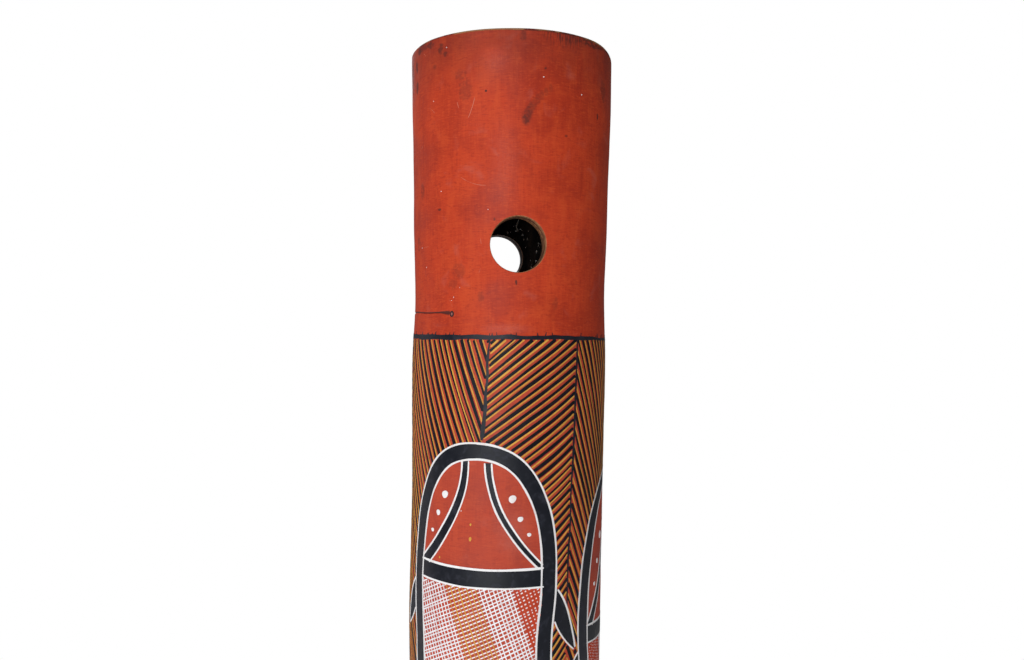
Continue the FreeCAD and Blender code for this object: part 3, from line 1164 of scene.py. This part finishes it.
def paint_figure(figure, bounds, order):
    """Everything inside and on one figure's outline."""
    outline = figure.outline()
    drift = hand_drift(len(outline), 0.5, 9)
    fade = np.minimum(np.arange(len(outline)), np.arange(len(outline))[::-1]) / 8
    outline = outline + drift * np.clip(fade, 0, 1)[:, None]
    closed = np.concatenate([outline, outline[:3]])
    BLACK_BANDS.stroke(beside(closed, BAND_MIDDLE), BAND_WIDTH, BAND_LIFT, blunt=1.0)
    for offset in (0.5, BAND_WIDTH):
        edge = shaky(beside(closed, offset + wobble(len(closed), 0.25, 6)), 0.1)
        width = OUTLINE_WIDTH + wobble(len(edge), 0.25, 4)
        WHITE_EDGES.stroke(edge, width, EDGE_LIFT, blunt=0.9)
    for spine, reach in figure.leaves:
        paint_leaf(figure, spine, reach)
    bar = figure.bar
    paint_stripe(figure, -1, 11.5, bar + 1.0, (4.6, 7.6))
    paint_stripe(figure, 1, 12.5, bar + 0.5, (4.6, 3.8))
    for side in (-1, 1):
        for size, drop, reach in ((4.9, 0.44, 0.42), (3.5, 0.6, 0.53), (2.6, 0.74, 0.62)):
            across = figure.across + side * reach * figure.wide + rng.uniform(-0.6, 0.6)
            WHITE_EDGES.dot(across, figure.apex + drop * bar + rng.uniform(-1, 1), size)
    paint_bar(figure, bar, 11.6, 0.012)
    panel_end = figure.tall - 62
    paint_cross_hatch(figure, bar + 12.4, panel_end, bounds, order)
    paint_bar(figure, panel_end, 9.0)
    for reach in (-17, 0, 17):
        drop = panel_end + 25 - abs(reach) * 0.2
        WHITE_EDGES.dot(figure.across + reach, figure.apex + drop, 4.4 - abs(reach) * 0.05)


def crest_seam(figure, down):
    """The seam that runs from a border to a figure's apex and on from its base."""
    fall = np.clip((down - figure.apex) / 65, -1, 0)
    return figure.across + 3.4 - 4.2 * fall


def gap_seam(left, right, down, top):
    """The seam that runs down between two figures."""
    share = np.clip((down - top) / 160, 0, 1)
    return (left.across + right.across) / 2 + 3.2 - 4.6 * share


def paint_seam(across, down, width):
    """A dark seam, unsteady in its course and its width."""
    across = across + wobble(len(down), 0.45, 3)
    SEAMS.stroke(pair(across, down), width * (1 + wobble(len(down), 0.25, 3)), BAND_LIFT)


# how far through each cycle of hatching its black line is, and the lines' widths
BLACK_SHARE = 0.66
LEANING_WIDTHS = {"black": 2.12, "yellow": 0.85}
RISING_WIDTHS = {"black": 2.3, "yellow": 0.98}
LEANING_PITCH = 4.65
RISING_PITCH = 5.6
SEAM_GAP = 0.5                   # how near a line comes to the seam on its left
HATCH_WANDER = (0.32, 36)        # how far a line strays, and over how many samples
SEAM_WIDTH = 1.35


def seam_down(top, bottom):
    """How far down each point of a seam is."""
    return np.linspace(top, bottom, 60)


class Ground:
    """A field of hatching between two seams, kept clear of the figures beside it."""

    def __init__(self, left, right, top, bottom, figures=()):
        self.left = left
        self.right = right
        self.top = top
        self.bottom = bottom
        self.figures = figures
        self.seam = seam_down(top, bottom)
        self.narrow = float(squeeze((top + bottom) / 2))

    def hatch(self, colour, across, down, width, gap):
        """One line, clipped to the field; yellow is painted over black."""
        inside = across > np.interp(down, self.seam, self.left) + SEAM_GAP
        inside &= across < np.interp(down, self.seam, self.right) - gap
        inside &= (down > self.top + 0.3) & (down < self.bottom)
        for figure in self.figures:
            inside &= figure.outside(across, down, -0.3)
        coat, lift = {"yellow": (HATCH_YELLOW, 0.13), "black": (HATCH_BLACK, 0.08)}[colour]
        draw_clipped(coat, pair(across, down), inside, width, lift)

    def paint_leaning(self):
        """Steep lines that lean to the right as they go down."""
        down = np.arange(self.top - 3, self.bottom + 3, FINE_STEP)
        depth = np.clip((down - self.top) / 150, 0, 1)
        lean = np.tan(np.radians(18.5 + 6 * depth))
        run = np.concatenate([[0], np.cumsum(lean[:-1] * FINE_STEP)]) / self.narrow
        pitch = LEANING_PITCH / self.narrow
        start = self.left.min() - run[-1] - pitch
        while start < self.right.max():
            start += pitch * rng.uniform(0.84, 1.16)
            for colour, width in LEANING_WIDTHS.items():
                share = BLACK_SHARE if colour == "black" else 0.0
                across = start + share * pitch + run * rng.uniform(0.99, 1.01)
                across = across + wobble(len(down), *HATCH_WANDER)
                self.hatch(colour, across, down, width, 0.3)

    def paint_rising(self):
        """Lines that rise to the right, steeper lower down."""
        wide = self.right.max() - self.left.min() + 6
        back = np.arange(0, wide, FINE_STEP)
        start = self.top - 62
        while start < self.bottom:
            start += RISING_PITCH * rng.uniform(0.84, 1.16)
            depth = float(np.clip((start - self.top) / 157, 0, 1))
            steep = 33.5 + 16.5 * depth**2 + np.clip(self.top - start, 0, 60) * 0.09
            bow = 0.0024 - 0.008 * min(depth, 0.45)
            across = float(np.interp(start, self.seam, self.right)) + 1 - back
            for colour, width in RISING_WIDTHS.items():
                share = BLACK_SHARE if colour == "black" else 0.0
                slope = math.tan(math.radians(steep + rng.uniform(-0.5, 0.5)))
                fall = (back * slope + bow / 2 * back**2) * self.narrow
                down = start + share * RISING_PITCH + fall
                down = down + wobble(len(back), *HATCH_WANDER)
                self.hatch(colour, across, down, width, 0.4)


def paint_row(figures, top, bottom):
    """Hatched ground round a row of figures, from one border to the next."""
    seam = seam_down(top, bottom)
    around = figures + [shifted(figures[0], FULL_TURN)]
    for left, right in zip(around[:-1], around[1:]):
        middle = gap_seam(left, right, seam, top)
        Ground(crest_seam(left, seam), middle, top, bottom, (left, right)).paint_rising()
        Ground(middle, crest_seam(right, seam), top, bottom, (left, right)).paint_leaning()
        free = left.outside(middle, seam, 0.0) & right.outside(middle, seam, 0.0)
        last = len(seam) if free.all() else int(np.argmin(free)) + 1
        paint_seam(middle[:last], seam[:last], SEAM_WIDTH)
        resume = len(seam) - int(np.argmin(free[::-1])) - 1
        if not free.all() and len(seam) - resume > 3:
            paint_seam(middle[resume:], seam[resume:], SEAM_WIDTH)
    for figure in figures:
        above = np.arange(top, figure.apex + 0.5, 3.0)
        width = np.interp(above, (top, figure.apex - 40, figure.apex), (1.1, 2.0, 2.7))
        width = width * (1 + wobble(len(above), 0.3, 2))
        across = crest_seam(figure, above) + wobble(len(above), 0.6, 2)
        SEAMS.stroke(pair(across, above), width, BAND_LIFT)
        beneath = np.arange(figure.apex + figure.tall + 0.5, bottom, 3.0)
        if len(beneath) > 2:
            paint_seam(crest_seam(figure, beneath), beneath, 1.5)


def shifted(figure, across):
    """The same figure seen again after a whole turn of the log."""
    return Figure(figure.across + across, figure.apex, figure.tall, figure.bar, figure.wide)


def ring_path(down, dip=0.0):
    """A line right round the log, lower on its right side by dip."""
    across = np.linspace(-HALF_TURN, HALF_TURN, 150)[:-1]
    drop = dip * np.exp(-(((across - 95) / 42) ** 2))
    return pair(across, down + drop + wobble(len(across), 0.4, 4))


def closed_round(path):
    """A line round the log, carried on two points past where it started."""
    return np.concatenate([path, path[:2] + (FULL_TURN, 0)])


def paint_divider(down, tall):
    """A black band round the log, between white edges."""
    closed = closed_round(ring_path(down))
    BLACK_BANDS.stroke(closed, tall, BAND_LIFT, blunt=1.0)
    for side in (-1, 1):
        edge = closed + (0, side * tall / 2)
        WHITE_EDGES.stroke(shaky(edge, 0.15), 1.3, EDGE_LIFT, blunt=1.0)


def paint_border(down, dip, left_width, right_width):
    """The thin dark line that ends the plain red, with strokes that overshoot it."""
    path = ring_path(down, dip)
    closed = closed_round(path)
    middle = (left_width + right_width) / 2
    widths = (right_width, left_width, middle, right_width)
    width = np.interp(closed[:, 0], (-HALF_TURN, -90, -10, 70), widths)
    width = width * (1 + wobble(len(closed), 0.28, 2))
    SEAMS.stroke(closed, width, BAND_LIFT + 0.03, blunt=1.0)
    for _ in range(BORDER_TICKS):
        across = rng.uniform(-HALF_TURN, HALF_TURN)
        start = float(np.interp(across, path[:, 0], path[:, 1]))
        tall = rng.uniform(1.7, 3.6)
        lean = rng.uniform(-0.5, 1.3)
        tick = [(across + lean * share, start - tall * share) for share in (0, 0.5, 1)]
        SEAMS.stroke(np.array(tick), rng.uniform(0.45, 0.85), BAND_LIFT)


def paint_zigzag(top, bottom, count):
    """A band of hatching whose lines turn back at each of its seams."""
    step = FULL_TURN / count
    seam = seam_down(top, bottom)
    for number in range(count):
        left = np.full(len(seam), -HALF_TURN + step * number)
        ground = Ground(left, left + step, top, bottom)
        if number % 2:
            ground.paint_rising()
        else:
            ground.paint_leaning()
        paint_seam(left, seam, 1.4)


HATCH_YELLOW = Coat("yellow_hatching", YELLOW_PAINT)
HATCH_BLACK = Coat("black_hatching", BLACK_PAINT)
SEAMS = Coat("dark_seams", BOLD_BLACK)
BLACK_BANDS = Coat("black_bands", BOLD_BLACK)
WHITE_EDGES = Coat("white_outlines", WHITE_PAINT)
CROSS_WHITE = Coat("white_cross_hatching", THIN_WHITE_PAINT)
CROSS_YELLOW = Coat("yellow_cross_hatching", YELLOW_PAINT)
CROSS_RED = Coat("red_cross_hatching", RED_PAINT)
COATS = (
    HATCH_YELLOW, HATCH_BLACK, SEAMS, BLACK_BANDS, WHITE_EDGES,
    CROSS_WHITE, CROSS_YELLOW, CROSS_RED,
)

ROW_END = 602.0
LOWER_START = 614.0
LOWER_END = 1012.0
ZIGZAG_START = 1022.0
FOOT_BORDER = 1204.0
PANEL_BOUNDS = (-24, 0, 19.5)    # where a panel's slanting bands change colour


# degrees and distance down at both ends, bow and width
LONG_SCUFFS = (
    (-28, 91, -13, 97, 1.5, 0.42),
    (-19.5, 42, -23.5, 55, 1.2, 0.4),
    (-30, 44, -29, 48, 0.3, 0.4),
)


def paint_scuffs():
    """Pale hairline scuffs on the crown: three in set places and a scatter."""
    draw = random.Random(31)
    scuffs = Coat("pale_scuffs", paint(
        "scuffed_ochre", RED_BODY, (0.53, 0.09, 0.045, 1), (0.57, 0.17, 0.11, 1), 0.8, 0.8,
    ))
    lines = list(LONG_SCUFFS)
    for _ in range(26):
        degrees = draw.uniform(-180, 180)
        down = draw.uniform(8, BORDER_DOWN - 8)
        turn = draw.uniform(-9, 9)
        fall = draw.uniform(-5, 5)
        lines.append((degrees, down, degrees + turn, down + fall, draw.uniform(-1, 1), 0.22))
    for start, top, end, bottom, bow, width in lines:
        share = np.linspace(0, 1, 9)
        across = np.radians(start + (end - start) * share) * GIRTH
        down = top + (bottom - top) * share + bow * 4 * share * (1 - share)
        path = pair(across, down)
        if all(hole_clear(*spot) for spot in path):
            scuffs.stroke(path, width, 0.035, blunt=0.2)
    scuffs.finish()


def hole_clear(across, down):
    """Whether a spot of the skin is clear of both mouths of the cross hole."""
    spot = skin(across / GIRTH, TOP - down) / MM
    aside = (spot[0] - HOLE_X) * HOLE_SIDE[0] + spot[1] * HOLE_SIDE[1]
    return math.hypot(aside, spot[2] - HOLE_HEIGHT) > HOLE_RADIUS + 2


def make_painting():
    """The whole design: two rows of figures, hatching, borders and bands."""
    upper = [
        Figure(-162.0, 268.0, 298.0, 86.0),
        Figure(-19.4, 256.6, 300.0, 78.0),
        Figure(107.0, 278.0, 288.0, 101.0, 54.5),
    ]
    lower = [
        Figure(-92.0, 688.0, 272.0, 92.0, 50.0),
        Figure(44.0, 672.0, 284.0, 82.0, 51.0),
        Figure(181.0, 694.0, 270.0, 88.0, 50.0),
    ]
    paint_border(BORDER_DOWN, 2.0, 3.2, 2.1)
    paint_row(upper, BORDER_DOWN + 1.0, ROW_END)
    paint_divider((ROW_END + LOWER_START) / 2, LOWER_START - ROW_END - 1)
    paint_row(lower, LOWER_START, LOWER_END)
    paint_divider((LOWER_END + ZIGZAG_START) / 2, ZIGZAG_START - LOWER_END - 1)
    paint_zigzag(ZIGZAG_START, FOOT_BORDER, 6)
    paint_border(FOOT_BORDER, 0.0, 2.6, 2.2)
    orders = (
        ("white", "yellow", "white", "red"),
        ("red", "white", "yellow", "white"),
        ("yellow", "white", "red", "white"),
    )
    for number, figure in enumerate(upper + lower):
        paint_figure(figure, PANEL_BOUNDS, orders[(number + 2) % 3])
    for degrees, down, size in (
        (40.9, 37.5, 0.8), (-41.7, 98.5, 0.65), (-47, 40.5, 0.6), (-37, 8.5, 0.6),
        (-61, 133, 0.5), (-56, 146, 0.6), (-33, 166, 0.6), (-34.5, 168, 0.4), (-29, 160, 0.4),
        (17, 30, 0.7), (-12, 112, 0.5), (-26, 300, 0.7),
    ):
        CROSS_WHITE.dot(math.radians(degrees) * GIRTH, down, size, 0.12)
    for degrees, down, size in ((-20, 317, 1.9), (-20, 308, 1.2), (-40, 331, 1.0)):
        CROSS_YELLOW.dot(math.radians(degrees) * GIRTH, down, size, 0.2, 1.5)
    for coat in COATS:
        coat.finish()


# ------------------------------------------------- the wax and small details

def make_wax():
    """The mouth ring: beeswax pressed by hand into the foot's seat."""
    around = 96
    lumps = waves(12, 8, 30.0, 6.0, 11)
    throat = 15.0
    outline = [
        (WAX_RADIUS, 1.2), (WAX_RADIUS, 8.0), (WAX_RADIUS, 16.0), (WAX_RADIUS, 24.0),
        (WAX_RADIUS, SEAT_TOP - 0.6), (WAX_RADIUS - 2, SEAT_TOP - 0.1), (22.5, SEAT_TOP - 0.4),
        (20.6, SEAT_TOP - 2.0), (19.0, 24.0), (17.2, 18.0), (15.8, 12.5), (throat, 8.0),
        (throat + 0.3, 5.0), (throat + 1.4, 2.4), (throat + 3.6, 0.9), (throat + 6.0, 0.5),
        (WAX_RADIUS - 2.5, 0.5), (WAX_RADIUS - 0.8, 0.6),
    ]
    points = []
    for step in range(around):
        angle = 2 * math.pi * step / around
        for radius, height in outline:
            pressed = radius < WAX_RADIUS - 0.5
            lump = 0.55 * rolling(lumps, angle, height + radius) if pressed else 0.0
            x = FOOT_X + (radius + lump) * math.sin(angle)
            y = -(radius + lump) * math.cos(angle)
            rise = 0.3 * rolling(lumps, angle + 1, radius) if pressed else 0.0
            points.append((x * MM, y * MM, max(height + rise, 0.1) * MM))
    index = np.arange(len(points)).reshape(around, -1)
    faces = wall_quads(np.concatenate([index, index[:1]])).tolist()
    wax = finished("wax_ring", points, faces, [beeswax()])
    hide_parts("beeswax_mouthpiece")


def thread(points, radius, sides=6):
    """Vertices and faces of a fine closed fibre through points, in metres."""
    path = np.array(points)
    ways = np.gradient(path, axis=0)
    vertices = []
    for step, (spot, way) in enumerate(zip(path, ways)):
        way = Vector(way).normalized()
        side = way.orthogonal().normalized()
        up = way.cross(side)
        taper = 0.45 if step in (0, len(path) - 1) else 1.0
        for turn in range(sides):
            angle = 2 * math.pi * turn / sides
            out = (side * math.cos(angle) + up * math.sin(angle)) * radius * taper * MM
            vertices.append(tuple(Vector(spot) + out))
    index = np.arange(len(vertices)).reshape(-1, sides)
    faces = wall_quads(index).tolist() + [index[0][::-1].tolist(), index[-1].tolist()]
    return vertices, faces


def make_plug():
    """The small hole where the gallery ends: a dark ring round pinkish frass."""
    across = GALLERY_END * GIRTH + 0.6
    down = float(gallery_down(GALLERY_END)) + 0.4
    turn = np.linspace(0, 2 * math.pi, 19)[:-1]
    ring = pair(across + 1.15 * np.cos(turn), down + 1.45 * np.sin(turn))
    rim = Coat("gallery_rim", paint(
        "gallery_edge", (0.09, 0.035, 0.03, 1), (0.04, 0.02, 0.02, 1), (0.02, 0.012, 0.013, 1), 0.75,
    ))
    rim.loop(ring, 0.95, 0.25)
    rim.finish()
    plug = Coat("gallery_plug", paint(
        "frass", (0.16, 0.06, 0.05, 1), (0.30, 0.11, 0.10, 1), (0.36, 0.15, 0.13, 1), 0.85,
    ))
    plug.dot(across, down, 1.9, 0.12, 1.2)
    plug.finish()


def far_wall(x, rise, proud=0.0):
    """A point on the bore's back wall, by x and height over the cross hole."""
    height = HOLE_HEIGHT + rise
    lean = float(along(BORE_CENTRE, height))
    phi = math.pi - math.asin((x - lean) / float(along(BORE_RADIUS, height)))
    inward = -np.array([math.sin(phi), -math.cos(phi), 0.0])
    return bore_wall(np.array([phi]), np.array([height]))[0] + inward * proud * MM


def crumb(middle, half_wide, half_tall, draw):
    """Vertices and faces of a lumpy crumb."""
    shape = bmesh.new()
    bmesh.ops.create_icosphere(shape, subdivisions=2, radius=1.0)
    points = []
    for vertex in shape.verts:
        lump = 1 + draw.uniform(-0.22, 0.22)
        x, y, z = vertex.co * lump
        points.append(tuple(middle + np.array([x * half_wide, y * half_wide, z * half_tall]) * MM))
    faces = [tuple(v.index for v in face.verts) for face in shape.faces]
    shape.free()
    return points, faces


# the peeling fibre, its two splinters and three strands nearer the hole: radius,
# then each point's x, rise over the hole's middle and distance off the wall
STRANDS = (
    (0.42, ((5.9, 29.5, -0.4), (5.4, 27.4, 0.5), (4.5, 24.8, 1.4), (4.2, 23.0, 1.9),
            (5.0, 20.9, 2.0))),
    (0.3, ((5.2, 20.8, 1.9), (3.6, 20.3, 1.5), (2.0, 20.0, -0.2))),
    (0.25, ((5.4, 21.6, 1.9), (7.0, 21.9, 1.0), (8.8, 20.7, -0.2))),
    (0.25, ((20.2, 12.0, -0.3), (20.9, 10.2, 1.0), (19.9, 8.4, -0.2))),
    (0.2, ((21.9, 10.8, -0.3), (20.6, 10.0, 0.9), (20.7, 8.0, -0.2))),
    (0.2, ((14.0, -9.0, -0.2), (15.6, -7.2, 0.8), (14.9, -5.0, -0.2))),
)
# crumbs of frass: x, rise, and half their width and height
CRUMBS = (
    (4.9, 20.7, 1.3, 0.7), (-2.4, 19.2, 0.55, 1.15), (-0.2, 20.1, 0.35, 0.7),
    (8.7, 17.6, 0.65, 1.0), (9.6, 14.0, 0.4, 0.6), (12.4, 14.4, 0.4, 1.0),
    (19.2, 4.8, 0.55, 1.1), (18.8, -2.1, 0.7, 0.7), (14.6, -1.5, 0.3, 0.8),
    (11.0, 8.0, 0.3, 0.4), (2.0, 24.0, 0.3, 0.4), (13.2, 20.0, 0.35, 0.35),
)


def make_fibres():
    """A peeling fibre and crumbs of frass on the bore's wall behind the hole."""
    shader = Shader("dry_fibres", specular=0.15)
    pith = shader.noise(1.2, 3)
    pale = (0.93, 0.91, 0.88, 1)
    colour = shader.layered(pale, (pith, 0.35, 0.65, 1.0, (0.66, 0.50, 0.38, 1)))
    material = shader.done(colour, shader.span(pith, 0.3, 0.7, 0.75, 0.95), pith, 0.1, 0.8)
    draw = random.Random(23)
    bits = [
        thread([far_wall(*spot) for spot in strand], radius * 1.25)
        for radius, strand in STRANDS
    ]
    bits += [
        crumb(far_wall(x, rise, 0.3), wide, tall, draw) for x, rise, wide, tall in CRUMBS
    ]
    points = []
    faces = []
    for vertices, sides in bits:
        faces += [tuple(i + len(points) for i in side) for side in sides]
        points += vertices
    finished("bore_fibres", points, faces, [material])


# ------------------------------------------------------------------ the stage

EYE = (0.0009, -0.634, 1.2133)
LENS = 32.3
FLOOR_REACH = 2.55
WORLD_GLOW = 0.13                # the even light from all round the log


def lamp(name, at, target, size, power, colour=(1, 1, 1)):
    """A soft rectangular light at a place, turned towards another."""
    light = bpy.data.lights.new(name, "AREA")
    light.shape = "RECTANGLE"
    light.size, light.size_y = size
    light.energy = power
    light.color = colour
    holder = bpy.data.objects.new(name, light)
    holder.location = at
    holder.rotation_euler = (Vector(target) - Vector(at)).to_track_quat("-Z", "Y").to_euler()
    bpy.context.scene.collection.objects.link(holder)


def around_log(degrees, reach, height):
    """A place that far from the log's axis, at an angle round it."""
    turn = math.radians(degrees)
    return (reach * math.sin(turn), -reach * math.cos(turn), height)


def make_floor():
    """A round pale floor whose edge fades into the white beyond it."""
    turns = [2 * math.pi * step / 96 for step in range(96)]
    rim = [(FLOOR_REACH * math.cos(turn), FLOOR_REACH * math.sin(turn), 0) for turn in turns]
    mesh = bpy.data.meshes.new("floor")
    mesh.from_pydata(rim, [], [range(len(rim))])
    floor = bpy.data.objects.new("floor", mesh)
    bpy.context.scene.collection.objects.link(floor)
    shader = Shader("pale_floor", roughness=0.8, specular=0.1)
    away = shader.vector("LENGTH", shader.where).outputs["Value"]
    fade = shader.span(away, 0.1, FLOOR_REACH - 0.15, 0.45, 1.0)
    cool = (0.83, 0.83, 0.84, 1)
    grain = (shader.noise(3, 2), 0.3, 0.7, 1.0, (0.86, 0.86, 0.86, 1))
    mesh.materials.append(shader.done(shader.layered(cool, grain)))
    glow = shader.node("Emission")
    inputs = {0: fade, 1: shader.finish.outputs[0], 2: glow.outputs[0]}
    blend = shader.node("MixShader", inputs)
    feed(shader.tree.nodes["Material Output"].inputs["Surface"], blend.outputs[0])


def make_world(glow):
    """White to the camera, and a dim even light on the log."""
    scene = bpy.context.scene
    scene.world = bpy.data.worlds.new("studio")
    scene.world.use_nodes = True
    tree = scene.world.node_tree
    backdrop = tree.nodes["Background"]
    backdrop.inputs["Color"].default_value = (1, 1, 1, 1)
    backdrop.inputs["Strength"].default_value = 1.0
    fill = add_node(tree, "Background", {"Color": (1.0, 0.97, 0.94, 1), "Strength": glow})
    path = add_node(tree, "LightPath")
    inputs = {0: path.outputs["Is Camera Ray"], 1: fill.outputs[0], 2: backdrop.outputs[0]}
    blend = add_node(tree, "MixShader", inputs)
    feed(tree.nodes["World Output"].inputs["Surface"], blend.outputs[0])
    scene.view_settings.view_transform = "Standard"


def make_camera():
    """The photograph's level view of the crown."""
    camera = bpy.data.cameras.new("camera")
    camera.lens = LENS
    camera.sensor_width = 36
    camera.clip_start = 0.01
    holder = bpy.data.objects.new("camera", camera)
    holder.location = EYE
    holder.rotation_euler = (math.radians(90), 0, 0)
    bpy.context.scene.collection.objects.link(holder)
    bpy.context.scene.camera = holder


# ------------------------------------------------------------------ the build

log_mesh = make_log()
log_wood = finished(
    "log_wood", log_mesh.points, log_mesh.faces,
    [red_ochre(), end_grain(), bore_wood(), tunnel_wood()],
    kinds=log_mesh.kinds,
)
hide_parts("log_body")
give_values(log_wood, "wear", log_mesh.wear)
log_points = np.array(log_mesh.points) / MM
log_phi = np.arctan2(log_points[:, 0] - along(CENTRE, log_points[:, 2]), -log_points[:, 1])
give_values(log_wood, "gallery", gallery(log_phi, log_points[:, 2]))
make_wax()
make_fibres()
make_plug()
make_painting()
paint_scuffs()

make_floor()
make_world(WORLD_GLOW)
CROWN = (0, 0, TOP * MM - 0.2)
lamp("key_softbox", around_log(-20, 1.7, 1.5), CROWN, (1.1, 1.3), 21.5)
lamp("right_fill", around_log(62, 1.9, 1.2), CROWN, (0.9, 1.4), 0.9, (1.0, 0.82, 0.7))
lamp("left_edge", around_log(-112, 1.5, 1.15), CROWN, (0.5, 1.5), 2.6, (1.0, 0.9, 0.93))
lamp("low_front", around_log(-20, 2.2, 0.5), (0, 0, 0.5), (1.2, 1.0), 7)
lamp("back_soft", around_log(-163, 1.6, 2.4), (0, 0, 0.9), (1.2, 1.2), 13)
make_camera()
